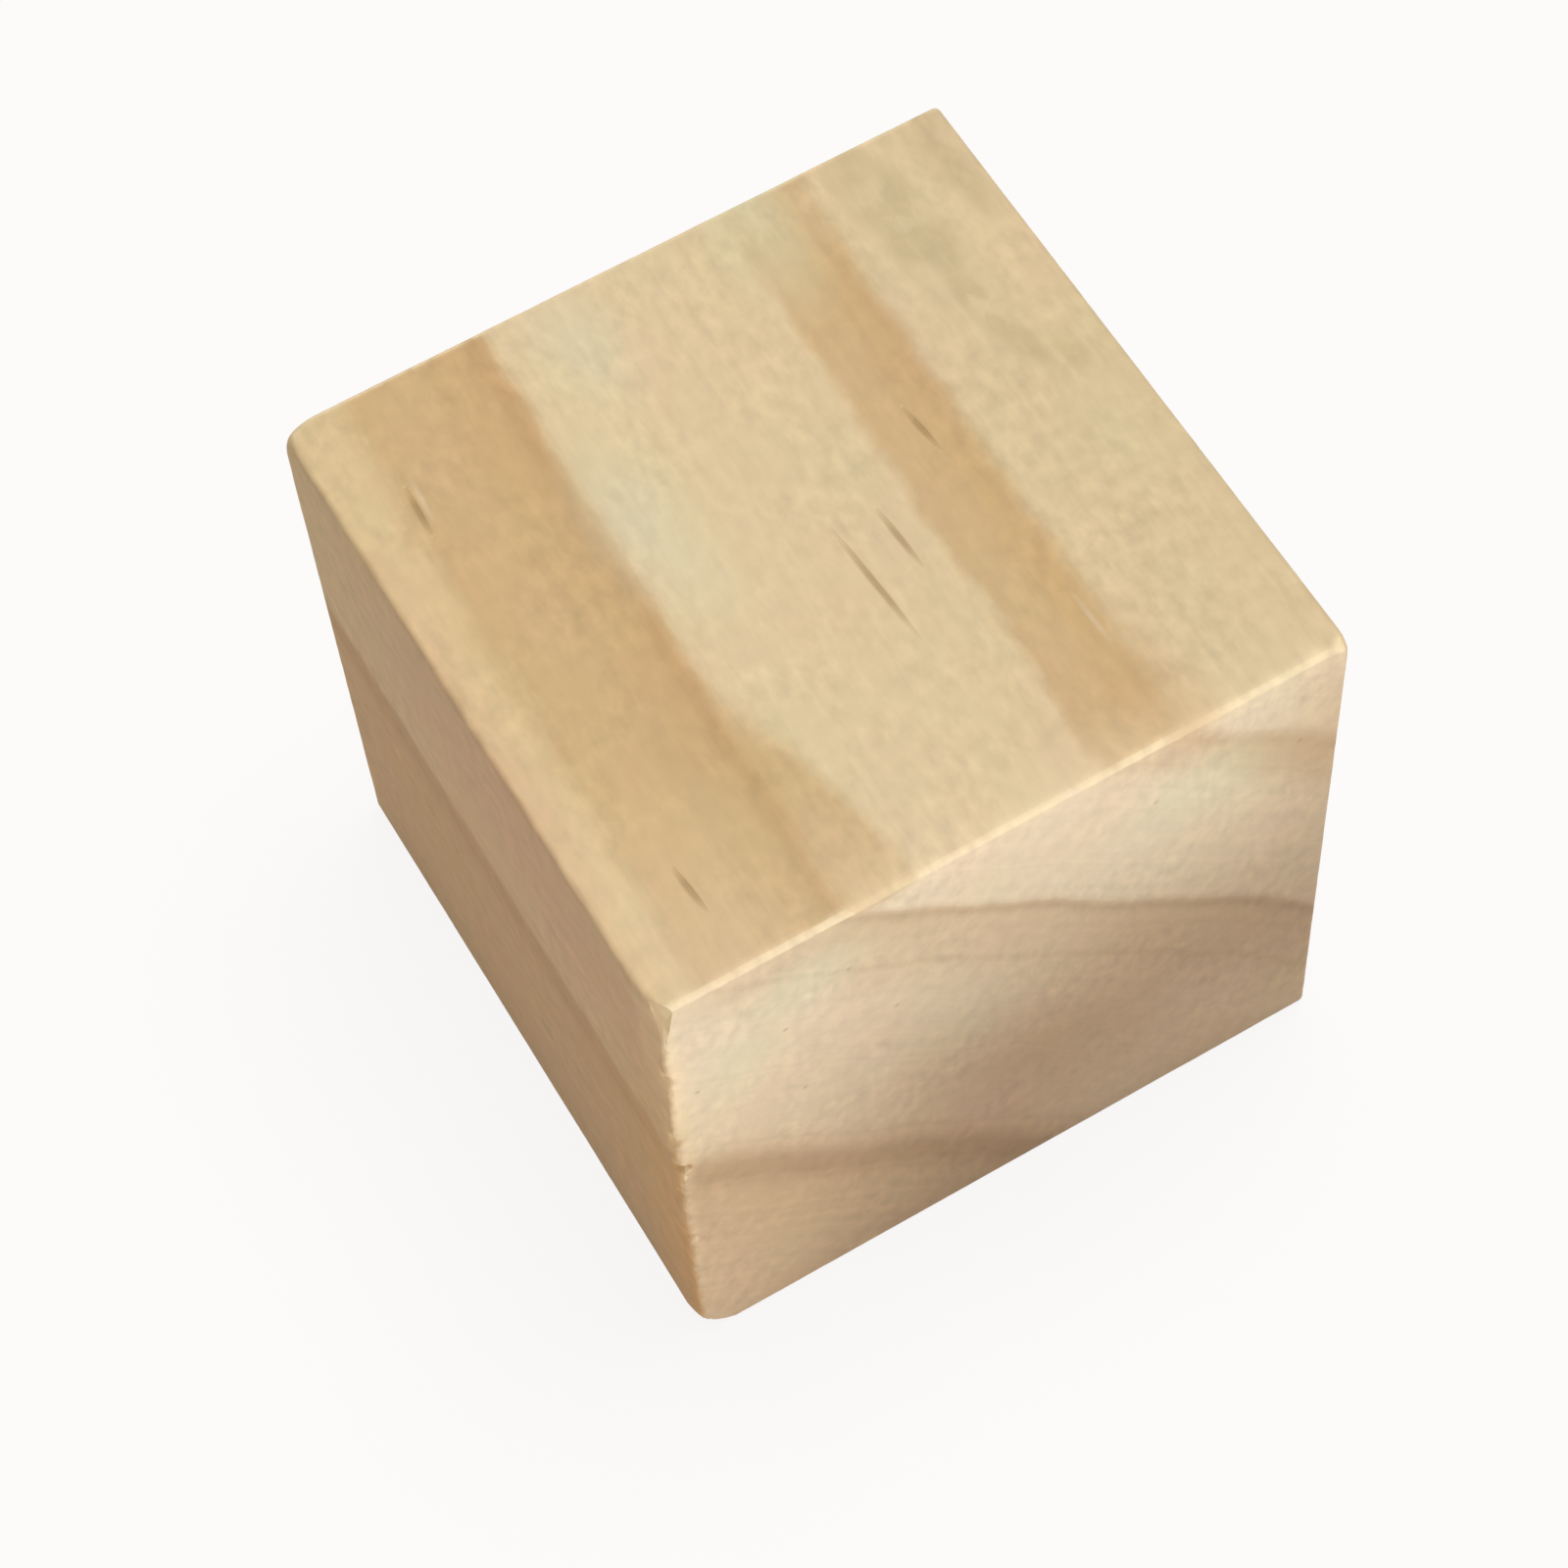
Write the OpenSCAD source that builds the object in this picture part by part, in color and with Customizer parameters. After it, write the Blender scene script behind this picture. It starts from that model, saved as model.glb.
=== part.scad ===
// Solid softwood cube, sawn square and lightly sanded.
//
// The grain runs from front to back, so the front and back faces are end grain.
// X is the width, Y the length along the grain and Z the height. The origin is
// the middle of the underside. The wear is part of the shape: two blunted
// corners, one chipped corner, fibres torn from one upright arris, and resin
// canals that the saw has opened along the top.

/* [Block] */
// Width of the block, across the grain
width = 25; // [12:0.5:60]
// Length of the block, along the grain
length = 25; // [12:0.5:60]
// Height of the block
height = 25; // [12:0.5:60]

/* [Sanding] */
// Radius that sanding leaves on every arris
arris_r = 0.25; // [0.1:0.05:0.5]
// Length of arris that sanding takes off at each corner
corner_loss = 0.45; // [0.4:0.05:0.9]

/* [Worn corners] */
// Length of arris lost at each of the two blunted corners
blunt_loss = 1.4; // [0.9:0.1:2.5]
// Width of the chip off the front left top corner
chip_width = 0.6; // [0.5:0.1:2]
// Length of the chip, along the grain
chip_length = 0.9; // [0.5:0.1:2.5]
// Height of the chip
chip_height = 1; // [0.5:0.1:2.5]

/* [Torn fibres] */
// Radius of the hollow that a torn bundle of fibres leaves
tear_r = 0.5; // [0.4:0.05:0.8]
// How far the deepest hollow reaches in from where the arris would be sharp
tear_reach = 0.38; // [0.25:0.01:0.39]

/* [Resin canals] */
// Width of an opened canal at the surface
canal_w = 0.3; // [0.2:0.05:0.5]
// Depth of an opened canal
canal_depth = 0.09; // [0.03:0.01:0.1]

/* [Hidden] */
$fn = 48;

// How far in a worn corner's sphere has its centre, as a multiple of the loss
corner_dome = 1.1;

// Torn hollows: how high each lies, as a share of the height, and how far it
// reaches in, as a share of the deepest one's reach
tears = [
    [0.81, 0.75],
    [0.63, 0.80],
    [0.545, 1.0],
    [0.46, 0.72],
    [0.33, 0.72]
];

// Opened canals on the top: where each has its middle, as shares of the width
// and length from the front left corner, and how long it is in millimetres
top_canals = [
    [0.540, 0.39, 5.0],
    [0.605, 0.43, 2.6],
    [0.710, 0.56, 2.0],
    [0.095, 0.79, 2.0],
    [0.122, 0.13, 2.0],
    [0.270, 0.33, 1.0]
];

// Radius of the round groove that has an opened canal's width and depth
canal_r = (pow(canal_w / 2, 2) + pow(canal_depth, 2)) / (2 * canal_depth);

// Rectangle with sanded corners, centred on the origin
module sanded_outline(size) {
    square([size.x - 2 * arris_r, size.y], center = true);
    square([size.x, size.y - 2 * arris_r], center = true);
    for (sx = [-1, 1], sy = [-1, 1])
        translate([sx * (size.x / 2 - arris_r), sy * (size.y / 2 - arris_r)])
            circle(arris_r);
}

// The block with its arrises eased, centred on the origin. It is what three
// sanded outlines have in common, one drawn out along each axis.
module sanded_block() {
    intersection() {
        linear_extrude(height, center = true)
            sanded_outline([width, length]);
        rotate([90, 0, 0])
            linear_extrude(length, center = true)
                sanded_outline([width, height]);
        rotate([90, 0, 90])
            linear_extrude(width, center = true)
                sanded_outline([length, height]);
    }
}

// Moves its children to the corner on the given side of each axis
module at_corner(side) {
    translate([side.x * width / 2, side.y * length / 2, side.z * height / 2])
        children();
}

// What wear takes off a corner when its arrises lose the given length: all
// that lies outside a sphere set some way in from the corner
module corner_waste(side, loss) {
    inset = corner_dome * loss;
    dome_r = sqrt(pow(inset - loss, 2) + 2 * pow(inset, 2));
    at_corner(side)
        difference() {
            cube(2 * inset, center = true);
            translate(-side * inset)
                sphere(dome_r);
        }
}

// All the corners as sanding leaves them, then the two that are blunted: the
// left back one at the top and the left front one at the bottom
module worn_corners() {
    for (sx = [-1, 1], sy = [-1, 1], sz = [-1, 1])
        corner_waste([sx, sy, sz], corner_loss);
    corner_waste([-1, 1, 1], blunt_loss);
    corner_waste([-1, -1, -1], blunt_loss);
}

// The chip off the front left top corner: a flat break through one point on
// each of the three arrises that meet there
module chip() {
    slope = [1 / chip_width, 1 / chip_length, 1 / chip_height];
    break_depth = 1 / norm(slope);
    break_tilt = acos(slope.z / norm(slope));
    break_turn = atan2(slope.y, slope.x);
    chip_span = 4 * max(chip_width, chip_length, chip_height);
    at_corner([-1, -1, 1])
        rotate([0, break_tilt, 180 + break_turn])
            translate([-chip_span / 2, -chip_span / 2, -break_depth])
                cube(chip_span);
}

// Hollows down the front left upright arris, where the saw tore the fibres out
module torn_arris() {
    for (tear = tears) {
        stand_off = (tear_r - tear_reach * tear[1]) / sqrt(2);
        translate([
            -width / 2 - stand_off,
            -length / 2 - stand_off,
            (tear[0] - 0.5) * height
        ])
            sphere(tear_r);
    }
}

// Groove that is left where the saw ran along a resin canal, lying along Y
module opened_canal(run) {
    straight = run - canal_w;
    translate([0, 0, canal_r - canal_depth]) {
        rotate([90, 0, 0])
            cylinder(h = straight, r = canal_r, center = true);
        for (end = [-1, 1])
            translate([0, end * straight / 2, 0])
                sphere(canal_r);
    }
}

// The canals that show on the top face
module opened_canals() {
    for (canal = top_canals)
        translate([
            (canal[0] - 0.5) * width,
            (canal[1] - 0.5) * length,
            height / 2
        ])
            opened_canal(canal[2]);
}

module block() {
    color("burlywood")
        translate([0, 0, height / 2])
            difference() {
                sanded_block();
                worn_corners();
                chip();
                torn_arris();
                opened_canals();
            }
}

block();
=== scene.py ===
"""A small cube of bare, sanded pine in a pale studio.

The file is laid out as an add-on and run as a script. Shapes are in metres,
and the patterns in the wood are worked out in millimetres.
"""

import math
from typing import NamedTuple

import bmesh
import bpy
from mathutils import Matrix, Vector


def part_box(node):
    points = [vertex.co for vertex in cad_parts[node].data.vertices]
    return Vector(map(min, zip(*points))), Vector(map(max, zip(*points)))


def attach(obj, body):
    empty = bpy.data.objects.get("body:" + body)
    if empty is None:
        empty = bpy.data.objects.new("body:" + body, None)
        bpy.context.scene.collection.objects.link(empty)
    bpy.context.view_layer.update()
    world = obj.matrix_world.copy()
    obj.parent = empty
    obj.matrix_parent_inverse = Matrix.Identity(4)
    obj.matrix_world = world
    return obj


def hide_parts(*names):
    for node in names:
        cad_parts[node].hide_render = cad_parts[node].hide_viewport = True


bl_info = {
    "name": "Pine Cube",
    "version": (1, 0, 0),
    "blender": (4, 5, 0),
    "location": "3D View > Sidebar > Pine Cube",
    "description": "Makes a worn, sanded pine cube and the studio it stands in",
    "category": "Add Mesh",
}

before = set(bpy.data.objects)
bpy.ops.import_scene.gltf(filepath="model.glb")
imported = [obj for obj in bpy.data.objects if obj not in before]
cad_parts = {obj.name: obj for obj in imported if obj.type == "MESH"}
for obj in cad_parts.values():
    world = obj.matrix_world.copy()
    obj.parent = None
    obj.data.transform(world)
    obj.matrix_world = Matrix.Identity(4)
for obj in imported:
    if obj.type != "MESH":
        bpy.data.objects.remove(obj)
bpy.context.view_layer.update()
LOW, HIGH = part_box("block")
SIZE = HIGH - LOW
CENTRE = (LOW + HIGH) / 2

MM = 0.001


def srgb(code):
    """Linear colour, with alpha, of an sRGB hex code such as #E2CCA1."""
    shares = [int(code[i : i + 2], 16) / 255 for i in (1, 3, 5)]
    linear = [s / 12.92 if s <= 0.04045 else ((s + 0.055) / 1.055) ** 2.4 for s in shares]
    return (*linear, 1.0)


WHITE = srgb("#FFFFFF")


def length(name, description, millimetres):
    """A length that the user can change, given in millimetres and kept in metres."""
    return bpy.props.FloatProperty(
        name=name,
        description=description,
        default=millimetres * MM,
        min=0,
        precision=5,
        unit="LENGTH",
        subtype="DISTANCE",
    )


def colour(name, description, code):
    """A colour that the user can change, given as an sRGB hex code and kept linear."""
    return bpy.props.FloatVectorProperty(
        name=name,
        description=description,
        default=srgb(code),
        size=4,
        min=0,
        max=1,
        subtype="COLOR",
    )


def angle(name, description, degrees):
    """An angle that the user can change, given in degrees and kept in radians."""
    return bpy.props.FloatProperty(
        name=name,
        description=description,
        default=math.radians(degrees),
        subtype="ANGLE",
    )


def power(name, description, watts):
    """A lamp's power in watts, which the user can change."""
    return bpy.props.FloatProperty(
        name=name,
        description=description,
        default=watts,
        min=0,
        unit="POWER",
    )


# --- Settings ---------------------------------------------------------------


class PineBlockSettings(bpy.types.PropertyGroup):
    """Sizes of the block's edges and wear"""

    arris_radius: length("Arris radius", "Radius that sanding leaves on every arris", 0.24)
    back_reach: length(
        "Back corner",
        "How far from its tip the back left top corner is rubbed",
        1.1,
    )
    foot_reach: length(
        "Foot corner",
        "How far from its tip the front left bottom corner is rubbed",
        1.2,
    )
    right_reach: length(
        "Right corner",
        "How far from its tip the front right top corner is rubbed",
        0.55,
    )
    chip_width: length("Chip width", "Width of the chip off the front left top corner", 0.6)
    chip_length: length("Chip length", "Length of that chip, along the grain", 0.9)
    chip_height: length("Chip height", "Height of that chip", 3.6)
    arris_wander: length("Arris wander", "How far the most worn arris wanders from true", 0.11)
    roll_off: length(
        "Roll-off",
        "How far the left side falls away at the top of its front arris",
        0.16,
    )
    roll_width: length(
        "Roll-off width",
        "How far in from the arris the side begins to fall away",
        1.6,
    )
    tear_depth: length(
        "Tear depth",
        "Depth of the deepest hollow torn from the front left arris",
        0.28,
    )
    tear_span: length("Tear span", "How far round its middle such a hollow reaches", 0.45)
    canal_width: length("Canal width", "Width of a resin canal that the saw has opened", 0.18)
    canal_depth: length("Canal depth", "Depth of a resin canal that the saw has opened", 0.022)


class PineFinishSettings(bpy.types.PropertyGroup):
    """Colours of the bare pine, and of the highlight and shade painted on it"""

    inner_wood: colour("Inner wood", "Wood of the innermost ring", "#D0AF84")
    middle_wood: colour("Middle wood", "Spring wood of the second ring", "#DEC393")
    outer_wood: colour("Outer wood", "Spring wood of the third ring", "#E3CBA1")
    rim_wood: colour("Rim wood", "Spring wood of the outermost ring", "#DCC499")
    latewood: colour("Latewood", "Tan late-summer wood", "#CEAB78")
    ring_line: colour("Ring line", "The last latewood before the next ring begins", "#C09A68")
    end_wood: colour("End grain", "Spring wood, cut across", "#E3CDAC")
    end_latewood: colour("End-grain latewood", "Late-summer wood, cut across", "#CBAE88")
    end_ring_line: colour("End-grain ring line", "The last latewood, cut across", "#A98A67")
    # Painted highlight on the rounded arrises and rims, partly pale raised fibre ends
    fuzz_and_highlight: colour("Fuzz", "Short fibre ends that sanding raises round the end grain", "#F2D9AF")
    # Redder tone along the top of the left side
    rosy_wood: colour(
        "Rosy wood",
        "Wood that handling has reddened along the top of the left side",
        "#E2AF8C",
    )
    # Painted shade: the warmer brown of the shaded patches on the front end
    painted_shade_brown: colour("Rosy end grain", "Warmer brown patches of the front end", "#C4A078")
    # Amber tone over the left side toward its front, most beside the worn arris
    amber_wood: colour(
        "Amber wood",
        "Wood that handling has warmed beside the worn arris",
        "#E6B26C",
    )
    pale_wood: colour("Pale wood", "Slightly green, paler clouds in the wood", "#DCD2AD")
    sap_stain: colour("Sap stain", "Greyish stain along a few fibres", "#C6AF84")
    resin: colour("Resin", "Dried resin in an opened canal", "#9C7C4E")


class StudioSettings(bpy.types.PropertyGroup):
    """Camera, lamps and floor"""

    view_azimuth: angle(
        "View azimuth",
        "Turn of the camera round the block, from straight in front",
        -25.64,
    )
    view_elevation: angle("View elevation", "How steeply the camera looks down", 60.66)
    view_roll: angle("View roll", "Turn of the camera about its own axis", 5.25)
    view_distance: length(
        "View distance",
        "From the camera to the point that it looks at",
        149.2,
    )
    lens: bpy.props.FloatProperty(
        name="Lens",
        description="Focal length in millimetres, on a sensor 36 mm wide",
        default=99.7,
        min=1,
        unit="CAMERA",
    )
    floor: colour("Floor", "Pale studio floor", "#F3E6D8")
    fill: bpy.props.FloatProperty(
        name="Fill",
        description="Strength of the even light all round",
        default=0.25,
        min=0,
    )
    fill_colour: colour("Fill colour", "Warm, even light all round", "#FFF2EE")
    overhead_power: power("Overhead light", "Power of the overhead light", 2.0)
    overhead_colour: colour("Overhead colour", "Light from overhead", "#FCFFFF")
    upper_beam: power("Upper beam", "Power of the beam across the top of the front end", 4.15)
    beam_colour: colour("Beam colour", "Cool light of the upper beam", "#EBF6FF")
    left_beam: power("Left beam", "Power of the beam down the left of the front end", 2.3)


# --- Shaping tools ----------------------------------------------------------


def select_only(things):
    """Selects just these objects, and makes the first the active one."""
    bpy.ops.object.select_all(action="DESELECT")
    for thing in things:
        thing.select_set(True)
    bpy.context.view_layer.objects.active = things[0]


def pick(piece, kind, test):
    """In edit mode, selects just the verts, edges or faces that pass the test."""
    bpy.ops.mesh.select_mode(type={"verts": "VERT", "edges": "EDGE", "faces": "FACE"}[kind])
    bpy.ops.mesh.select_all(action="DESELECT")
    mesh = bmesh.from_edit_mesh(piece.data)
    for part in getattr(mesh, kind):
        if test(part):
            part.select_set(True)
    mesh.select_flush_mode()
    bmesh.update_edit_mesh(piece.data)


def corner(side):
    """The sharp corner on the given side, -1 or 1, of each axis."""
    return Vector([HIGH[i] if side[i] > 0 else LOW[i] for i in range(3)])


def in_block(shares):
    """The point at the given shares of the block's width, length and height."""
    return Vector([LOW[i] + shares[i] * SIZE[i] for i in range(3)])


# --- Block ------------------------------------------------------------------

# Squares along each face of the block's mesh, and steps round each arris
GRID = 96
ARRIS_STEPS = 4
# How far in from the front left arris the mesh is cut finer, then finer again, as
# multiples of the arris radius
FINE_STRIPS = (3.5, 1.8)

# Sides of a corner: left or right, front or back, bottom or top
BACK_CORNER = (-1, 1, 1)
FOOT_CORNER = (-1, -1, -1)
RIGHT_CORNER = (1, -1, 1)
CHIPPED_CORNER = (-1, -1, 1)

# The arrises that have worn most, with 0 for the axis that they run along, and
# how much they wander. The rest wander by the last share.
WORN_ARRISES = {(-1, -1, 0): 0.8, (-1, 0, 1): 0.7, (0, -1, 1): 0.4}
SOUND_WANDER = 0.1
WANDER_GROUP = "arrises"
# The ripples that add up to the wander: the length of each in mm, and its share
RIPPLES = {"slow_wander": (2.5, 1.0), "quick_wander": (0.6, 0.6), "fine_wander": (0.28, 0.5)}

# Shares of the height above which the left side falls away to its front arris, and
# further away
ROLL_STARTS = (0.95, 0.75)

# Hollows torn from the front left arris: share of the height, and of full depth.
# Where the depth is negative, a tuft of fibres stands proud.
TEARS = (
    (0.81, 0.35),
    (0.63, 0.5),
    (0.548, 1.0),
    (0.515, -0.35),
    (0.46, 0.3),
    (0.33, 0.3),
)

# Opened resin canals on the top: share of the width and length, run along the
# grain in mm, and lean from the grain in degrees
TOP_CANALS = (
    ((0.539, 0.390), 5.2, 3.5),
    ((0.600, 0.432), 2.8, 3),
    ((0.710, 0.560), 2.2, 6),
    ((0.096, 0.792), 2.2, -3),
    ((0.122, 0.132), 2.1, 5),
)


class PINE_CUBE_OT_add_block(bpy.types.Operator):
    """Models the worn pine block and gives it its finish"""

    bl_idname = "pine_cube.add_block"
    bl_label = "Add Pine Block"

    def execute(self, context):
        sizes = context.scene.pine_block
        bpy.ops.object.select_all(action="DESELECT")
        bpy.ops.mesh.primitive_cube_add(size=1, location=CENTRE, scale=SIZE)
        block = context.object
        block.name = "pine_block"
        bpy.ops.object.transform_apply(location=True, rotation=True, scale=True)
        bpy.ops.object.mode_set(mode="EDIT")
        ease_arrises(block, sizes)
        rub_corner(block, BACK_CORNER, sizes.back_reach, repeat=4)
        rub_corner(block, FOOT_CORNER, sizes.foot_reach, repeat=9)
        rub_corner(block, RIGHT_CORNER, sizes.right_reach, repeat=3)
        wear_front_arris(block, sizes)
        chip_corner(block, sizes)
        bpy.ops.object.mode_set(mode="OBJECT")
        roughen_arrises(block, sizes)
        open_canals(block, sizes)
        bpy.ops.object.shade_smooth_by_angle(angle=math.radians(40))
        block.data.materials.clear()
        block.data.materials.append(sanded_pine(context.scene.pine_finish, sizes))
        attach(block, "root")
        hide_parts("block")
        return {"FINISHED"}


def ease_arrises(block, sizes):
    """Rounds the arrises, then cuts the block's faces into small squares."""
    radius = sizes.arris_radius
    bpy.ops.mesh.select_all(action="SELECT")
    bpy.ops.mesh.bevel(offset=radius, segments=ARRIS_STEPS, profile=0.5, affect="EDGES")
    for axis in range(3):
        full = SIZE[axis] - 2 * radius

        def runs_full_length(edge):
            return abs(edge.verts[1].co[axis] - edge.verts[0].co[axis]) > 0.9 * full

        pick(block, "edges", runs_full_length)
        bpy.ops.mesh.subdivide(number_cuts=GRID - 1)


def rub_corner(block, side, reach, repeat):
    """Rubs a corner round in passes that draw in to its tip, where it wears most."""
    tip = corner(side)
    for tenths in range(10, 2, -1):
        pick(block, "verts", lambda vert: (vert.co - tip).length < reach * tenths / 10)
        bpy.ops.mesh.vertices_smooth(factor=0.5, repeat=repeat)


def wear_front_arris(block, sizes):
    """Lets the left side fall away to the front arris, and tears hollows down it."""
    arris = corner((-1, -1, -1))
    for strip in FINE_STRIPS:

        def beside_arris(face):
            inset = face.calc_center_median() - arris
            return max(inset.x, inset.y) < strip * sizes.arris_radius

        pick(block, "faces", beside_arris)
        bpy.ops.mesh.subdivide(number_cuts=1)

    def on_arris(vert):
        return max((vert.co - arris).xy) < 0.6 * sizes.arris_radius

    for share in ROLL_STARTS:
        height = LOW.z + share * SIZE.z
        pick(block, "verts", lambda vert: on_arris(vert) and vert.co.z > height)
        bpy.ops.transform.translate(
            value=(sizes.roll_off / len(ROLL_STARTS), 0, 0),
            use_proportional_edit=True,
            proportional_edit_falloff="SMOOTH",
            proportional_size=sizes.roll_width,
        )
    for share, strength in TEARS:
        height = LOW.z + share * SIZE.z
        near = 0.05 * MM
        pick(block, "verts", lambda vert: on_arris(vert) and abs(vert.co.z - height) < near)
        inward = sizes.tear_depth * strength / math.sqrt(2)
        bpy.ops.transform.translate(
            value=(inward, inward, 0),
            use_proportional_edit=True,
            proportional_edit_falloff="SMOOTH",
            proportional_size=sizes.tear_span,
        )


def chip_corner(block, sizes):
    """Breaks the chip off its corner along one flat plane."""
    tip = corner(CHIPPED_CORNER)
    legs = (sizes.chip_width, sizes.chip_length, sizes.chip_height)
    outward = Vector([CHIPPED_CORNER[i] / legs[i] for i in range(3)]).normalized()
    start = tip - Vector((CHIPPED_CORNER[0] * legs[0], 0, 0))
    pick(block, "faces", lambda face: (face.calc_center_median() - tip).length < 3 * max(legs))
    bpy.ops.mesh.bisect(
        plane_co=start,
        plane_no=outward,
        use_fill=True,
        clear_outer=True,
        threshold=0.001 * MM,
    )
    # Only the new facet has that many sides, and it becomes a fan of triangles
    pick(block, "faces", lambda face: len(face.verts) > 12)
    bpy.ops.mesh.poke()


def roughen_arrises(block, sizes):
    """Lets the arrises wander a little from true, and the worn ones more."""
    group = block.vertex_groups.new(name=WANDER_GROUP)
    for vert in block.data.vertices:
        sides = [-1 if vert.co[i] < CENTRE[i] else 1 for i in range(3)]
        insets = [SIZE[i] / 2 - abs(vert.co[i] - CENTRE[i]) for i in range(3)]
        along = insets.index(max(insets))
        sides[along] = 0
        wander = WORN_ARRISES.get(tuple(sides), SOUND_WANDER)
        weight = wander * (1 - sorted(insets)[1] / (2.5 * sizes.arris_radius))
        if weight > 0:
            group.add([vert.index], weight, "REPLACE")
    for name, (ripple, strength) in RIPPLES.items():
        texture = bpy.data.textures.new(name, "CLOUDS")
        texture.noise_scale = ripple * MM
        texture.noise_depth = 1
        modifier = block.modifiers.new(name, "DISPLACE")
        modifier.texture = texture
        modifier.texture_coords = "LOCAL"
        modifier.vertex_group = WANDER_GROUP
        modifier.mid_level = 0.6
        modifier.strength = 2 * sizes.arris_wander * strength
        bpy.ops.object.modifier_apply(modifier=name)


def open_canals(block, sizes):
    """Cuts the spindle-shaped grooves where the saw ran into resin canals."""
    cutters = []
    for shares, run, lean in TOP_CANALS:
        bpy.ops.mesh.primitive_uv_sphere_add(
            segments=16,
            ring_count=24,
            radius=1,
            location=in_block((*shares, 1)),
            rotation=(math.radians(90), 0, math.radians(lean)),
            scale=(sizes.canal_width / 2, sizes.canal_depth, run * MM / 2),
        )
        cutters.append(bpy.context.object)
    select_only(cutters)
    bpy.ops.object.join()
    cutter = bpy.context.object
    bpy.ops.object.transform_apply(location=True, rotation=True, scale=True)
    select_only([block])
    modifier = block.modifiers.new("open_canals", "BOOLEAN")
    modifier.operation = "DIFFERENCE"
    modifier.solver = "EXACT"
    modifier.object = cutter
    bpy.ops.object.modifier_apply(modifier=modifier.name)
    bpy.data.objects.remove(cutter)
    bpy.ops.object.mode_set(mode="EDIT")
    bpy.ops.mesh.select_all(action="SELECT")
    bpy.ops.mesh.remove_doubles(threshold=0.003 * MM)
    bpy.ops.object.mode_set(mode="OBJECT")


# --- Pine finish ------------------------------------------------------------


def add_node(tree, kind, settings, out=0):
    """Adds a node and returns one of its outputs.

    A setting's key is the name of a property of the node, or the name or the
    number of a socket. Where its value is a socket, that socket is linked.
    """
    node = tree.nodes.new(kind)
    for key, value in settings.items():
        if isinstance(key, str) and hasattr(node, key):
            setattr(node, key, value)
        elif isinstance(value, bpy.types.NodeSocket):
            tree.links.new(value, node.inputs[key])
        else:
            node.inputs[key].default_value = value
    return node.outputs[out]


def lay_over(tree, tone, coats):
    """Lays coats of colour over a tone, one after another.

    Each coat has the share of it that shows from place to place, the strength
    that this share is multiplied by, and its colour.
    """
    for share, strength, paint in coats:
        share = add_node(tree, "ShaderNodeMath", {"operation": "MULTIPLY", 0: share, 1: strength})
        mix = {"data_type": "RGBA", 0: share, 6: tone, 7: paint}
        tone = add_node(tree, "ShaderNodeMix", mix, out=2)
    return tone


def stray(tree, level, noise, amount):
    """Lets a level stray both ways with a noise, by half the amount at most."""
    noise = add_node(tree, "ShaderNodeMath", {"operation": "SUBTRACT", 0: noise, 1: 0.5})
    return add_node(
        tree, "ShaderNodeMath", {"operation": "MULTIPLY_ADD", 0: noise, 1: amount, 2: level}
    )


def set_stops(ramp, stops):
    """Gives a colour ramp its stops, each a place and a colour or a grey level."""
    while len(ramp.elements) > 1:
        ramp.elements.remove(ramp.elements[-1])
    for number, (place, tone) in enumerate(stops):
        element = ramp.elements[0] if number == 0 else ramp.elements.new(place)
        element.position = place
        element.color = (tone, tone, tone, 1) if isinstance(tone, float) else tone


# Where the pith ran, beyond the block's left and bottom, in mm
PITH = (-82.7, -73.9)
# How far the pith leaned across and up for each mm along the grain
PITH_LEAN = (0.058, -0.008)
# How far the rings swell toward the front for each mm along the grain
SWELLING = 0.019
# How far the rings bend, and how far their edges fray, finely or coarsely, in mm
BEND = 1.0
FINE_FRAY = 0.35
COARSE_FRAY = 0.7


class Ring(NamedTuple):
    """One year's growth, which ends in darker latewood. Lengths are in mm."""

    # From the pith to the end of the ring
    end: float
    # Width over which the latewood gives way to the next ring, and its own width
    fade: float
    late_width: float
    # The same where the fibres are cut across, and how dark the latewood is there
    cut_fade: float
    cut_late_width: float
    cut_late: float
    # Width of the dark line at the end of the ring, and how dark it is
    line_width: float
    line: float


RINGS = (
    Ring(
        end=112.4,
        fade=0.9,
        late_width=12.0,
        cut_fade=1.9,
        cut_late_width=20.0,
        cut_late=0.85,
        line_width=1.6,
        line=1.0,
    ),
    Ring(
        end=125.25,
        fade=0.3,
        late_width=2.7,
        cut_fade=0.3,
        cut_late_width=4.6,
        cut_late=0.8,
        line_width=0.42,
        line=0.8,
    ),
    Ring(
        end=133.05,
        fade=0.45,
        late_width=1.77,
        cut_fade=0.6,
        cut_late_width=2.3,
        cut_late=1.0,
        line_width=0.42,
        line=0.15,
    ),
)
# How each of them rises up to the end of a ring: places before the end, as shares
# of its width, and how dark it is there, as shares of its darkest
LATE_RISE = ((1.12, 0.0), (0.9, 0.85), (0.78, 0.78), (0.5, 0.85), (0.3, 1.0), (0.0, 1.0))
CUT_LATE_RISE = ((1.0, 0.0), (0.64, 0.45), (0.58, 0.75), (0.5, 0.6), (0.2, 0.85), (0.0, 1.0))
LINE_RISE = ((1.0, 0.0), (0.45, 0.8), (0.15, 1.0), (0.0, 0.9))
# Distances from the pith, in mm, between which all the block's rings lie
RING_SPAN = (100.0, 140.0)
# Distance from the pith at which each tone of the spring wood is reached, in mm
WOOD_TONES = (
    (111, "inner_wood"),
    (114, "middle_wood"),
    (123, "middle_wood"),
    (126, "outer_wood"),
    (134, "rim_wood"),
)

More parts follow.
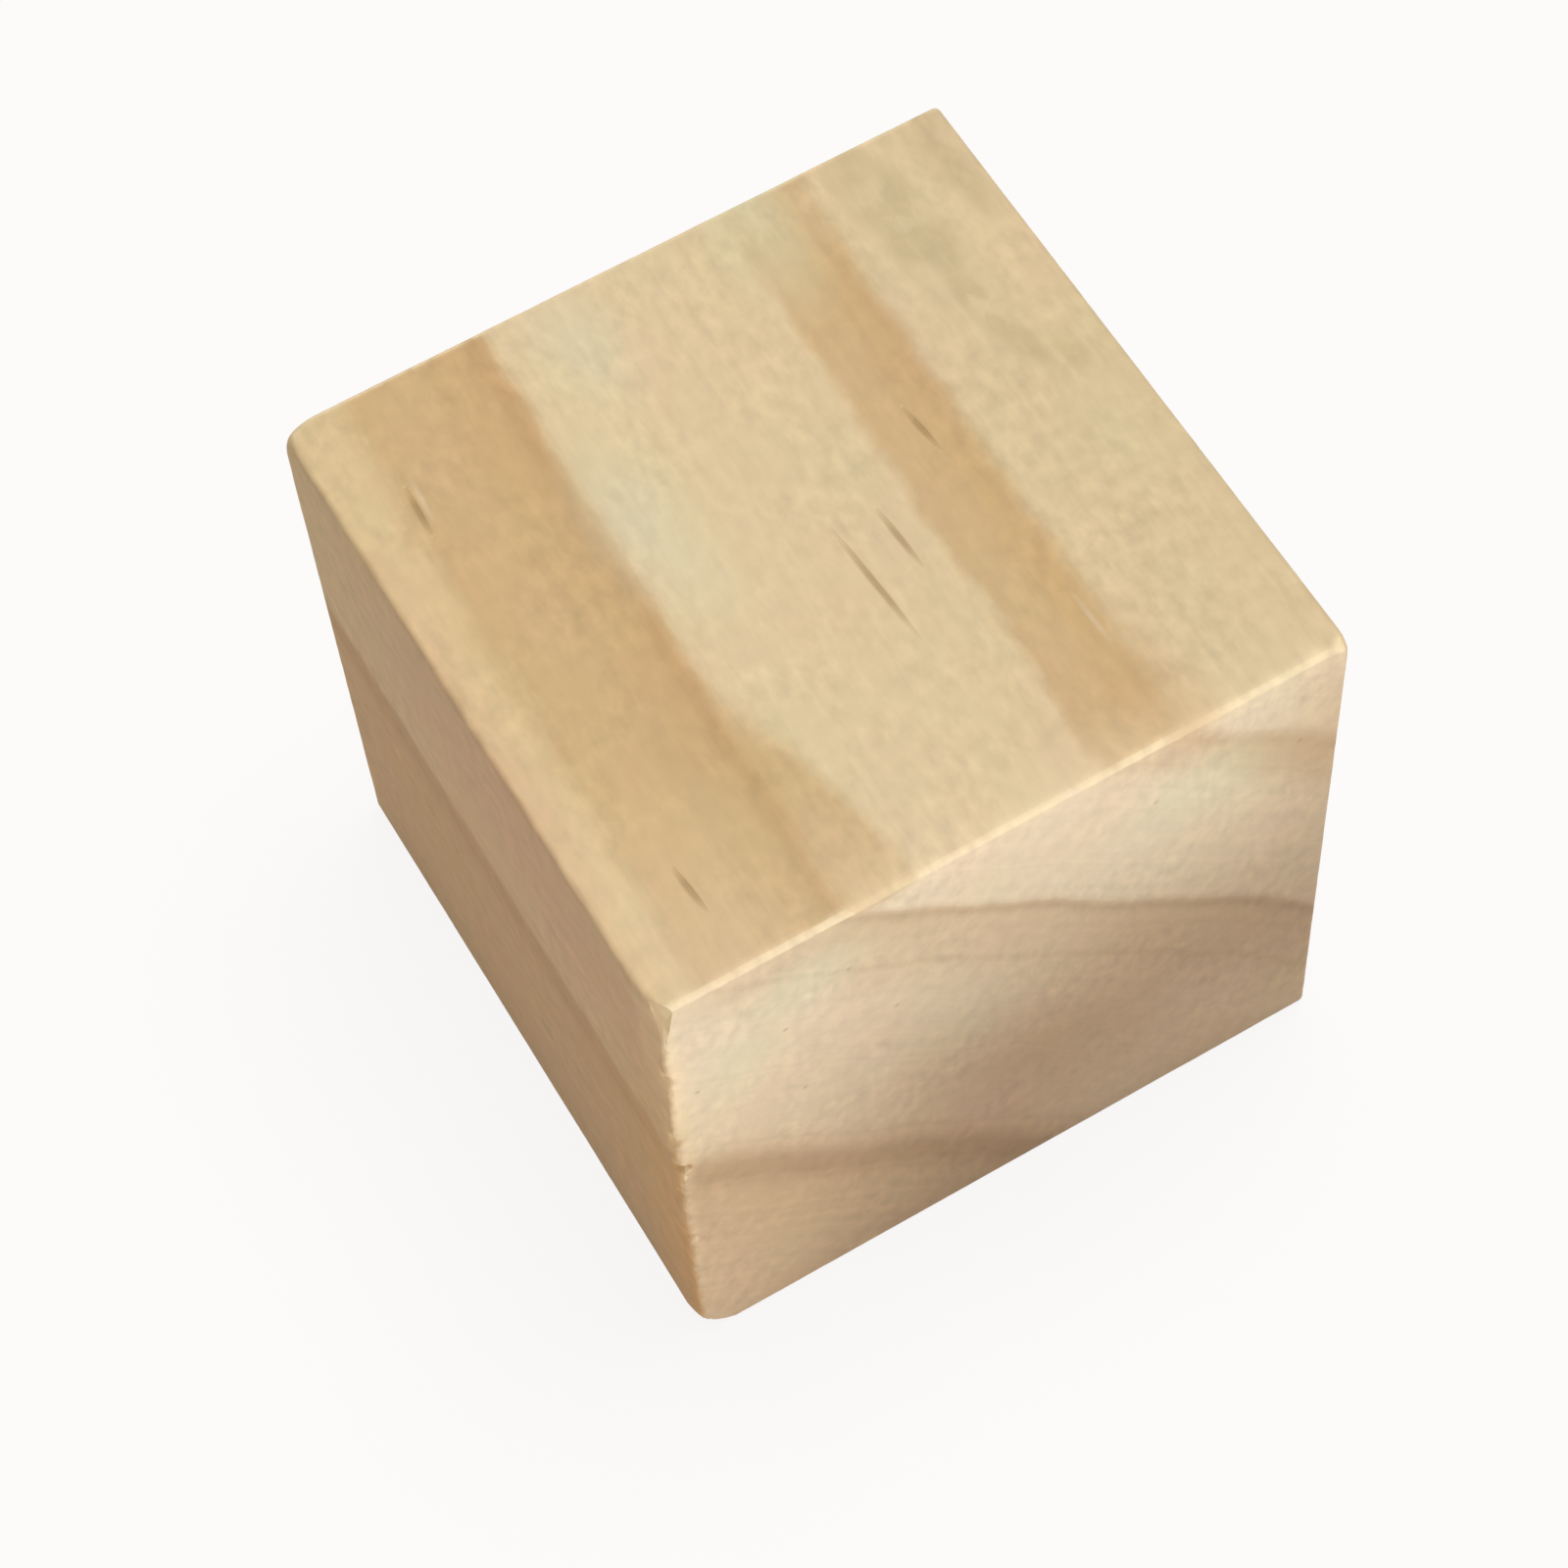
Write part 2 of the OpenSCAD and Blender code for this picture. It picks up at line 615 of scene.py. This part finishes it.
# Soft marks in the wood. Each has its middle, as shares of the width, length
# and height, its half width, half run along the grain and half height in mm,
# and its lean from the grain in degrees.
SAP_STAINS = (
    ((0.855, 0.87, 1), (1.4, 4.6, 1.0), 7),
    ((0.875, 0.69, 1), (0.6, 3.0, 0.8), 6),
    ((0.891, 0.63, 1), (0.5, 3.4, 0.7), 8),
    ((0.965, 0.92, 1), (0.9, 3.4, 0.7), 3),
    ((0.940, 0.56, 1), (0.5, 1.6, 0.7), 3),
)
# Tan wood beyond the middle ring's edge, and at the front of the outer ring's
TAN_WEDGE = (((0.340, -0.30, 1), (2.1, 18.0, 0.5), 6),)
TAN_FRINGE = (((0.770, -0.05, 1), (1.5, 8.0, 0.6), 2),)
PALE_CLOUDS = (
    ((0.335, 0.62, 1), (2.2, 5.5, 1.2), 2),
    ((0.400, 0.90, 1), (2.0, 3.5, 1.2), 2),
    ((0.695, 1.00, 1), (2.4, 6.0, 1.5), -3),
    ((0.200, 0.00, 0.88), (3.2, 2.0, 2.2), 0),
    ((0.760, 0.00, 0.84), (3.4, 2.0, 3.0), 0),
    ((0.100, 0.00, 0.76), (2.6, 2.0, 3.4), 0),
)
# Where the left side is redder along its top and more amber toward its front, most beside the worn
# arris
ROSY_SIDE_TOP = (((0, 0.35, 0.85), (1.5, 16.0, 9.0), 0),)
AMBER_SIDE = (((0, 0.0, 0.40), (1.5, 8.0, 17.0), 0),)
AMBER_ARRIS_STRIP = (((0, 0.0, 0.2), (1.5, 3.6, 20.0), 0),)
# Painted shade: warmer, darker patches on the front end, low across the middle and at the top right
PAINTED_END_SHADE = (((0.58, 0, 0.33), (9.0, 1.5, 7.0), 0), ((1.0, 0, 0.82), (4.0, 1.5, 8.0), 0))
# Where sanding has lifted short fibres from the top, so that it is more mottled
TORN_GRAIN = (((0.84, 0.30, 1), (5.5, 9.0, 1.0), 4), ((0.93, 0.70, 1), (2.5, 5.0, 1.0), 4))
# Painted highlight down the left rim of the front end, over the front of the top and down the left
# side beside the worn arris
PAINTED_RIM_HIGHLIGHT = (((0.012, 0, 0.74), (0.4, 1.0, 8.0), 0),)
PAINTED_EDGE_HIGHLIGHTS = (
    ((0.10, 0.0, 1), (6.0, 9.0, 1.2), 10),
    ((0.60, 0.0, 1), (16.0, 2.2, 1.2), 0),
    ((0, 0.0, 0.75), (1.2, 2.4, 8.0), 0),
    ((0, 0.0, 0.35), (0.5, 0.5, 9.0), 0),
)
PALE_FIBRES = (
    ((0.108, 0.805, 1), (0.12, 1.2, 0.2), -3),
    ((0.744, 0.200, 1), (0.14, 1.5, 0.2), 2),
)
# Resin canals cut across on the front end, as shares of the width and height
END_CANALS = (
    (0.040, 0.75),
    (0.265, 0.86),
    (0.330, 0.69),
    (0.170, 0.79),
    (0.190, 0.60),
    (0.935, 0.815),
    (0.715, 0.86),
)
# More opened canals on the faces that are seldom seen
HIDDEN_CANALS = (
    ((1, 0.30, 0.62), 3.0, 2),
    ((1, 0.66, 0.35), 2.2, -2),
    ((1, 0.52, 0.80), 1.6, 3),
    ((0.35, 0.55, 0), 2.8, 3),
    ((0.72, 0.28, 0), 2.0, -2),
)

# Sizes across the grain of the noises that break up the tone, in mm
BEND_SIZE = 6.67
CLOUD_SIZE = 3.33
PATCH_SIZE = 2.86
FRAY_SIZE = 1.11
BLOTCH_SIZE = 1.0
TUFT_SIZE = 0.833
SPECK_SIZE = 0.714
RAGGED_SIZE = 0.625
MOTTLE_SIZE = 0.5
STREAK_SIZE = 0.385
BUNDLE_SIZE = 0.286
# Pine fibres are 0.04 mm wide, too fine to show, so they are drawn 0.2 mm wide
FIBRE_SIZE = 0.2


def soft_spots(tree, place, marks):
    """How far inside the nearest mark a point lies, from 1 at its middle to 0 at its rim."""
    nearest = None
    for shares, half_sizes, lean in marks:
        inside = add_node(
            tree,
            "ShaderNodeMapping",
            {
                "vector_type": "TEXTURE",
                "Vector": place,
                "Location": in_block(shares) / MM,
                "Rotation": (0, 0, math.radians(lean)),
                "Scale": half_sizes,
            },
        )
        sphere = {"gradient_type": "SPHERICAL", "Vector": inside}
        inside = add_node(tree, "ShaderNodeTexGradient", sphere, out="Fac")
        if nearest:
            either = {"operation": "MAXIMUM", 0: nearest, 1: inside}
            inside = add_node(tree, "ShaderNodeMath", either)
        nearest = inside
    return nearest


def ring_ramp(tree, radius, stops):
    """Tones that change with the distance from the pith, each given with its distance in mm."""
    low, high = RING_SPAN
    share = add_node(
        tree, "ShaderNodeMapRange", {"Value": radius, "From Min": low, "From Max": high}
    )
    ramp = add_node(tree, "ShaderNodeValToRGB", {"Fac": share})
    set_stops(ramp.node.color_ramp, [((at - low) / (high - low), tone) for at, tone in stops])
    return ramp


def ring_ends(rings, rise):
    """Stops for a level that rises up to the end of each ring, then fades.

    Each ring has its end, the widths over which the level rises and fades, and
    its darkest level.
    """
    stops = []
    for end, width, fade, darkest in rings:
        stops += [(end - share * width, darkest * level) for share, level in rise]
        stops += [(end + fade, 0.0)]
    return stops


def distances_from_pith(tree, place, fibres, short_fibres):
    """Distances from the pith in mm: clean, finely frayed and coarsely frayed."""
    from_pith = add_node(
        tree,
        "ShaderNodeMapping",
        {
            "Vector": place,
            "Location": (-PITH[0], 0, -PITH[1]),
            "Rotation": (-PITH_LEAN[1], 0, PITH_LEAN[0]),
        },
    )
    across = {"operation": "MULTIPLY", 0: from_pith, 1: (1, 0, 1)}
    across = add_node(tree, "ShaderNodeVectorMath", across)
    radius = {"operation": "LENGTH", 0: across}
    radius = add_node(tree, "ShaderNodeVectorMath", radius, out="Value")
    along = add_node(tree, "ShaderNodeSeparateXYZ", {"Vector": place}, out="Y")
    swollen = {"operation": "MULTIPLY_ADD", 0: along, 1: SWELLING, 2: radius}
    radius = add_node(tree, "ShaderNodeMath", swollen)
    bend = {"Vector": fibres, "Scale": 1 / BEND_SIZE, "Detail": 1.0}
    radius = stray(tree, radius, add_node(tree, "ShaderNodeTexNoise", bend), BEND)
    fray = {"Vector": short_fibres, "Scale": 1 / FRAY_SIZE, "Detail": 4.0}
    fray = add_node(tree, "ShaderNodeTexNoise", fray)
    finely_frayed = stray(tree, radius, fray, FINE_FRAY)
    return radius, finely_frayed, stray(tree, radius, fray, COARSE_FRAY)


def arris_highlight_and_fuzz(tree, normal, facing):
    """Where the rounded arrises along the top and bottom of the end grain get a painted highlight,
    partly pale raised fibre ends.
    """
    fuzz_and_highlight = add_node(tree, "ShaderNodeValToRGB", {"Fac": facing})
    set_stops(fuzz_and_highlight.node.color_ramp, ((0.06, 0.0), (0.25, 0.85), (0.92, 0.85), (0.99, 0.0)))
    for axis, hidden, full in (("X", 0.6, 0.4), ("Z", 0.15, 0.35)):
        share = add_node(tree, "ShaderNodeSeparateXYZ", {"Vector": normal}, out=axis)
        share = add_node(tree, "ShaderNodeMath", {"operation": "ABSOLUTE", 0: share})
        share = {"Value": share, "From Min": hidden, "From Max": full}
        share = add_node(tree, "ShaderNodeMapRange", share)
        fuzz_and_highlight = add_node(tree, "ShaderNodeMath", {"operation": "MULTIPLY", 0: fuzz_and_highlight, 1: share})
    return fuzz_and_highlight


def tan_wedge(tree, place, short_fibres, radius):
    """Where the tan wedge shows: beyond the middle ring's edge, with a ragged rim."""
    ragged = {"Vector": short_fibres, "Scale": 1 / RAGGED_SIZE, "Detail": 3.0}
    ragged = add_node(tree, "ShaderNodeTexNoise", ragged, out="Color")
    ragged = {"operation": "MULTIPLY_ADD", 0: ragged, 1: (0.5, 0.5, 0), 2: (-0.25, -0.25, 0)}
    ragged = add_node(tree, "ShaderNodeVectorMath", ragged)
    place = add_node(tree, "ShaderNodeVectorMath", {"operation": "ADD", 0: place, 1: ragged})
    wedge = {"Value": soft_spots(tree, place, TAN_WEDGE), "From Min": 0.02, "From Max": 0.22}
    wedge = add_node(tree, "ShaderNodeMapRange", wedge)
    beyond = {"operation": "GREATER_THAN", 0: radius, 1: RINGS[1].end + 0.1}
    beyond = add_node(tree, "ShaderNodeMath", beyond)
    return add_node(tree, "ShaderNodeMath", {"operation": "MULTIPLY", 0: wedge, 1: beyond})


def sap_stains(tree, place, short_fibres):
    """Where the sap stains show, in blotches."""
    blotches = {"Vector": short_fibres, "Scale": 1 / BLOTCH_SIZE, "Detail": 4.0}
    blotches = add_node(tree, "ShaderNodeTexNoise", blotches)
    blotches = {"Value": blotches, "From Min": 0.40, "From Max": 0.62}
    blotches = add_node(tree, "ShaderNodeMapRange", blotches)
    stains = {"operation": "MULTIPLY", 0: soft_spots(tree, place, SAP_STAINS), 1: blotches}
    stains = add_node(tree, "ShaderNodeMath", stains)
    return add_node(
        tree, "ShaderNodeMapRange", {"Value": stains, "From Max": 0.35, "To Max": 0.65}
    )


def unevenness(tree, place, fibres, short_fibres, frayed, end_on):
    """A level round 1 that streaks and mottles the tone.

    Faint streaks follow the rings, bundles of fibres run along the grain, and
    the mottle comes and goes in patches. Specks show on end grain and where the
    grain is torn.
    """
    patches = {"Vector": place, "Scale": 1 / PATCH_SIZE, "Detail": 1.0}
    patches = {
        "Value": add_node(tree, "ShaderNodeTexNoise", patches),
        "From Min": 0.4,
        "From Max": 0.6,
        "To Min": 0.17,
        "To Max": 0.43,
    }
    patches = add_node(tree, "ShaderNodeMapRange", patches)
    torn = {"operation": "MULTIPLY", 0: soft_spots(tree, place, TORN_GRAIN), 1: 0.45}
    torn = add_node(tree, "ShaderNodeMath", torn)
    rough = {"operation": "MULTIPLY_ADD", 0: end_on, 1: 0.16, 2: torn}
    rough = add_node(tree, "ShaderNodeMath", rough)
    streaks = {"noise_dimensions": "1D", "W": frayed, "Scale": 1 / STREAK_SIZE, "Detail": 3.0}
    level = stray(tree, 1.0, add_node(tree, "ShaderNodeTexNoise", streaks), 0.12)
    for vector, size, detail, amount in (
        (fibres, BUNDLE_SIZE, 3.0, 0.08),
        (short_fibres, MOTTLE_SIZE, 2.0, patches),
        (place, SPECK_SIZE, 2.5, rough),
    ):
        noise = {"Vector": vector, "Scale": 1 / size, "Detail": detail}
        level = stray(tree, level, add_node(tree, "ShaderNodeTexNoise", noise), amount)
    return level


def sanded_pine(finish, sizes):
    """Bare, fast-grown pine, sanded: matt, with wide pale rings that end in a tan line."""
    material = bpy.data.materials.new("sanded_pine")
    material.use_nodes = True
    tree = material.node_tree
    tree.nodes.clear()

    # Places in mm, and the same drawn out along the grain, a lot and a little
    place = add_node(tree, "ShaderNodeTexCoord", {}, out="Object")
    place = {"operation": "SCALE", 0: place, "Scale": 1 / MM}
    place = add_node(tree, "ShaderNodeVectorMath", place)
    fibres = add_node(tree, "ShaderNodeMapping", {"Vector": place, "Scale": (1, 0.08, 1)})
    short_fibres = {"Vector": place, "Scale": (1, 0.6, 0.6)}
    short_fibres = add_node(tree, "ShaderNodeMapping", short_fibres)

    # Tones of long grain and of end grain, with painted shade and highlight on the front end, and
    # the dark line that both have
    radius, frayed, coarse = distances_from_pith(tree, place, fibres, short_fibres)
    late = [(ring.end, ring.late_width, ring.fade, 1.0) for ring in RINGS]
    late = ring_ramp(tree, coarse, ring_ends(late, LATE_RISE))
    cut_late = [(ring.end, ring.cut_late_width, ring.cut_fade, ring.cut_late) for ring in RINGS]
    cut_late = ring_ramp(tree, frayed, ring_ends(cut_late, CUT_LATE_RISE))
    line = [(ring.end, ring.line_width, ring.fade, ring.line) for ring in RINGS]
    line = ring_ramp(tree, frayed, ring_ends(line, LINE_RISE))
    long_grain = ring_ramp(tree, radius, [(at, getattr(finish, tone)) for at, tone in WOOD_TONES])
    long_grain = lay_over(
        tree,
        long_grain,
        (
            (late, 1.0, finish.latewood),
            (line, 0.9, finish.ring_line),
            (soft_spots(tree, place, ROSY_SIDE_TOP), 0.5, finish.rosy_wood),
            (soft_spots(tree, place, AMBER_SIDE), 0.3, finish.amber_wood),
            (soft_spots(tree, place, AMBER_ARRIS_STRIP), 0.65, finish.amber_wood),
        ),
    )
    end_grain = lay_over(
        tree,
        finish.end_wood,
        (
            (cut_late, 1.0, finish.end_latewood),
            (line, 0.5, finish.end_ring_line),
            # Painted shade on the front end, low across the middle and at the top right
            (soft_spots(tree, place, PAINTED_END_SHADE), 0.5, finish.painted_shade_brown),
            # Painted highlight down the left rim of the front end
            (soft_spots(tree, place, PAINTED_RIM_HIGHLIGHT), 0.8, finish.fuzz_and_highlight),
        ),
    )

    # End grain shows wherever the surface faces along the grain
    normal = add_node(tree, "ShaderNodeNewGeometry", {}, out="Normal")
    facing = add_node(tree, "ShaderNodeSeparateXYZ", {"Vector": normal}, out="Y")
    facing = add_node(tree, "ShaderNodeMath", {"operation": "ABSOLUTE", 0: facing})
    end_on = {"Value": facing, "From Min": 0.45, "From Max": 0.8}
    end_on = add_node(tree, "ShaderNodeMapRange", end_on)

    # The painted arris highlight and fuzz come and go in tufts, and the tan wedge thins out toward
    # the front
    tufts = {"Vector": place, "Scale": 1 / TUFT_SIZE, "Detail": 3.0}
    tufts = {
        "Value": add_node(tree, "ShaderNodeTexNoise", tufts),
        "From Min": 0.2,
        "From Max": 0.5,
    }
    tufts = add_node(tree, "ShaderNodeMapRange", tufts)
    front = LOW.y / MM
    thinner = {
        "Value": add_node(tree, "ShaderNodeSeparateXYZ", {"Vector": place}, out="Y"),
        "From Min": front,
        "From Max": front + 6.0,
        "To Min": 0.5,
        "To Max": 0.9,
    }
    thinner = add_node(tree, "ShaderNodeMapRange", thinner)

    # Resin has dried in the canals that are opened lengthwise or cut across
    reach = 0.9 * sizes.canal_width / MM
    opened = [((*shares, 1), run, lean) for shares, run, lean in TOP_CANALS]
    opened = [
        (shares, (reach, 0.5 * run, reach), lean)
        for shares, run, lean in (*opened, *HIDDEN_CANALS)
    ]
    resin = {"Value": soft_spots(tree, place, opened), "From Max": 0.7, "To Max": 0.6}
    resin = add_node(tree, "ShaderNodeMapRange", resin)
    cut_across = [((x, 0, z), (0.9 * reach, 2.0, 0.9 * reach), 0) for x, z in END_CANALS]

    tone = lay_over(
        tree,
        long_grain,
        (
            (end_on, 1.0, end_grain),
            # Painted highlight, partly pale fibre ends, on the arrises along the top and bottom of
            # the end grain
            (arris_highlight_and_fuzz(tree, normal, facing), tufts, finish.fuzz_and_highlight),
            (soft_spots(tree, place, PALE_CLOUDS), 0.75, finish.pale_wood),
            (tan_wedge(tree, place, short_fibres, radius), thinner, finish.latewood),
            (soft_spots(tree, place, TAN_FRINGE), 0.8, finish.latewood),
            # Painted highlight over the front of the top and down the left side near its front
            (soft_spots(tree, place, PAINTED_EDGE_HIGHLIGHTS), 0.38, finish.fuzz_and_highlight),
            (sap_stains(tree, place, short_fibres), 1.0, finish.sap_stain),
            (soft_spots(tree, place, PALE_FIBRES), 0.5, finish.end_wood),
            (resin, 1.0, finish.resin),
            (soft_spots(tree, place, cut_across), 0.5, finish.resin),
        ),
    )

    # Slow clouds of tone and hue lie over all of it
    clouds = {"Vector": short_fibres, "Scale": 1 / CLOUD_SIZE, "Detail": 2.0}
    clouds = {
        "operation": "MULTIPLY_ADD",
        0: add_node(tree, "ShaderNodeTexNoise", clouds, out="Color"),
        1: (0.09, 0.09, 0.09),
        2: (0.955, 0.955, 0.955),
    }
    clouds = add_node(tree, "ShaderNodeVectorMath", clouds)
    tone = add_node(tree, "ShaderNodeVectorMath", {"operation": "MULTIPLY", 0: tone, 1: clouds})
    uneven = unevenness(tree, place, fibres, short_fibres, frayed, end_on)
    tone = add_node(tree, "ShaderNodeVectorMath", {"operation": "SCALE", 0: tone, "Scale": uneven})

    # The fibres give a fine relief, flatter on end grain, and a matt surface
    grain = {"Vector": fibres, "Scale": 1 / FIBRE_SIZE, "Detail": 3.0}
    grain = add_node(tree, "ShaderNodeTexNoise", grain)
    relief = add_node(
        tree, "ShaderNodeMapRange", {"Value": end_on, "To Min": 1.0, "To Max": 0.45}
    )
    bump = {"Height": grain, "Strength": relief, "Distance": 0.01 * MM}
    roughness = {"Value": grain, "To Min": 0.55, "To Max": 0.75}
    shader = {
        "Base Color": tone,
        "Roughness": add_node(tree, "ShaderNodeMapRange", roughness),
        "Normal": add_node(tree, "ShaderNodeBump", bump),
        "IOR": 1.45,
    }
    shader = add_node(tree, "ShaderNodeBsdfPrincipled", shader)
    tree.links.new(shader, tree.nodes.new("ShaderNodeOutputMaterial").inputs[0])
    return material


# --- Studio -----------------------------------------------------------------

# How much of the floor's white, where the camera sees it, doesn't depend on its light,
# so that the shadow stays faint, and how bright the air behind it looks, 1 being white
FLOOR_GLOW = 0.88
SEEN_AIR = 0.95
# Point that the camera looks at, from the middle of the block, in mm
AIM = (-1.897, -0.774, -0.853)
SENSOR_WIDTH = 36


class PINE_CUBE_OT_add_studio(bpy.types.Operator):
    """Sets up the floor, lamps and camera"""

    bl_idname = "pine_cube.add_studio"
    bl_label = "Add Studio"

    def execute(self, context):
        studio = context.scene.pine_studio
        add_floor(studio)
        add_air(studio)
        add_lamps(studio)
        add_camera(studio)
        context.scene.view_settings.view_transform = "Standard"
        return {"FINISHED"}


def add_floor(studio):
    """A wide pale floor, level with the block's underside."""
    bpy.ops.object.select_all(action="DESELECT")
    bpy.ops.mesh.primitive_plane_add(size=4.0)
    floor = bpy.context.object
    floor.name = "studio_floor"
    floor.data.materials.append(floor_paper(studio))


def seen_directly(tree):
    """1 for a ray that shows the white background itself, 0 for one that lights other things."""
    seen = None
    for kind in ("Is Camera Ray", "Is Glossy Ray", "Is Transmission Ray"):
        ray = add_node(tree, "ShaderNodeLightPath", {}, out=kind)
        if seen:
            ray = add_node(tree, "ShaderNodeMath", {"operation": "MAXIMUM", 0: seen, 1: ray})
        seen = ray
    return seen


def floor_paper(studio):
    """White background paper: matt, and seen as white but for the block's shadow."""
    material = bpy.data.materials.new("background_paper")
    material.use_nodes = True
    tree = material.node_tree
    tree.nodes.clear()
    paper = add_node(tree, "ShaderNodeBsdfDiffuse", {"Color": studio.floor})
    glow = add_node(tree, "ShaderNodeEmission", {"Color": WHITE})
    share = {"operation": "MULTIPLY", 0: seen_directly(tree), 1: FLOOR_GLOW}
    share = add_node(tree, "ShaderNodeMath", share)
    mixed = add_node(tree, "ShaderNodeMixShader", {0: share, 1: paper, 2: glow})
    tree.links.new(mixed, tree.nodes.new("ShaderNodeOutputMaterial").inputs[0])
    return material


def add_air(studio):
    """Even light from all round, behind a white background."""
    world = bpy.data.worlds.new("studio_air")
    bpy.context.scene.world = world
    world.use_nodes = True
    tree = world.node_tree
    tree.nodes.clear()
    seen = seen_directly(tree)
    strength = {"Value": seen, "To Min": studio.fill, "To Max": SEEN_AIR}
    strength = add_node(tree, "ShaderNodeMapRange", strength)
    tint = {"data_type": "RGBA", 0: seen, 6: studio.fill_colour, 7: WHITE}
    tint = add_node(tree, "ShaderNodeMix", tint, out=2)
    air = add_node(tree, "ShaderNodeBackground", {"Color": tint, "Strength": strength})
    tree.links.new(air, tree.nodes.new("ShaderNodeOutputWorld").inputs[0])


def add_lamps(studio):
    """A soft light overhead, and two soft-edged beams across the upper left of the front end."""
    softbox = add_lamp("overhead_softbox", "AREA", studio.overhead_power, (90, 40, 520), (0, 0, 25))
    softbox.color = studio.overhead_colour[:3]
    softbox.shape = "DISK"
    softbox.size = 360 * MM
    upper = add_lamp("upper_beam", "SPOT", studio.upper_beam, (-10, -410, 30), (3.6, -12.5, 60.2))
    upper.color = studio.beam_colour[:3]
    upper.spot_size = math.radians(15)
    upper.spot_blend = 0.55
    upper.shadow_soft_size = 4 * MM
    left = add_lamp("left_beam", "SPOT", studio.left_beam, (-20, -400, 14), (-21.8, -12.5, 9.0))
    left.spot_size = math.radians(6)
    left.spot_blend = 0.79
    left.shadow_soft_size = 4 * MM


def add_lamp(name, kind, watts, place, target):
    """Adds a lamp at a place, aimed at a target, both in mm. Returns its settings."""
    data = bpy.data.lights.new(name, kind)
    data.energy = watts
    lamp = bpy.data.objects.new(name, data)
    bpy.context.scene.collection.objects.link(lamp)
    lamp.location = Vector(place) * MM
    lamp.rotation_euler = (Vector(place) - Vector(target)).to_track_quat("Z", "Y").to_euler()
    return data


def add_camera(studio):
    """Looks at a point near the middle of the block, from the studio's view."""
    flat = math.cos(studio.view_elevation)
    back = Vector((
        math.sin(studio.view_azimuth) * flat,
        -math.cos(studio.view_azimuth) * flat,
        math.sin(studio.view_elevation),
    ))
    level = Vector((0, 0, 1)).cross(back).normalized()
    upright = back.cross(level)
    roll = studio.view_roll
    right = level * math.cos(roll) - upright * math.sin(roll)
    up = upright * math.cos(roll) + level * math.sin(roll)
    aim = CENTRE + Vector(AIM) * MM
    data = bpy.data.cameras.new("camera")
    data.lens = studio.lens
    data.sensor_width = SENSOR_WIDTH
    data.clip_start = 1 * MM
    camera = bpy.data.objects.new("camera", data)
    bpy.context.scene.collection.objects.link(camera)
    turn = Matrix((right, up, back)).transposed().to_4x4()
    camera.matrix_world = Matrix.Translation(aim + back * studio.view_distance) @ turn
    bpy.context.scene.camera = camera


# --- Panel and registration -------------------------------------------------


class PINE_CUBE_PT_panel(bpy.types.Panel):
    """Lists what can be made"""

    bl_label = "Pine Cube"
    bl_space_type = "VIEW_3D"
    bl_region_type = "UI"
    bl_category = "Pine Cube"

    def draw(self, context):
        for operator in OPERATORS:
            self.layout.operator(operator.bl_idname)


SETTINGS = {
    "pine_block": PineBlockSettings,
    "pine_finish": PineFinishSettings,
    "pine_studio": StudioSettings,
}
OPERATORS = (PINE_CUBE_OT_add_block, PINE_CUBE_OT_add_studio)
CLASSES = (*SETTINGS.values(), *OPERATORS, PINE_CUBE_PT_panel)


def register():
    for item in CLASSES:
        bpy.utils.register_class(item)
    for name, group in SETTINGS.items():
        setattr(bpy.types.Scene, name, bpy.props.PointerProperty(type=group))


def unregister():
    for name in SETTINGS:
        delattr(bpy.types.Scene, name)
    for item in reversed(CLASSES):
        bpy.utils.unregister_class(item)


def main():
    register()
    bpy.ops.pine_cube.add_block()
    bpy.ops.pine_cube.add_studio()


if __name__ == "__main__":
    main()
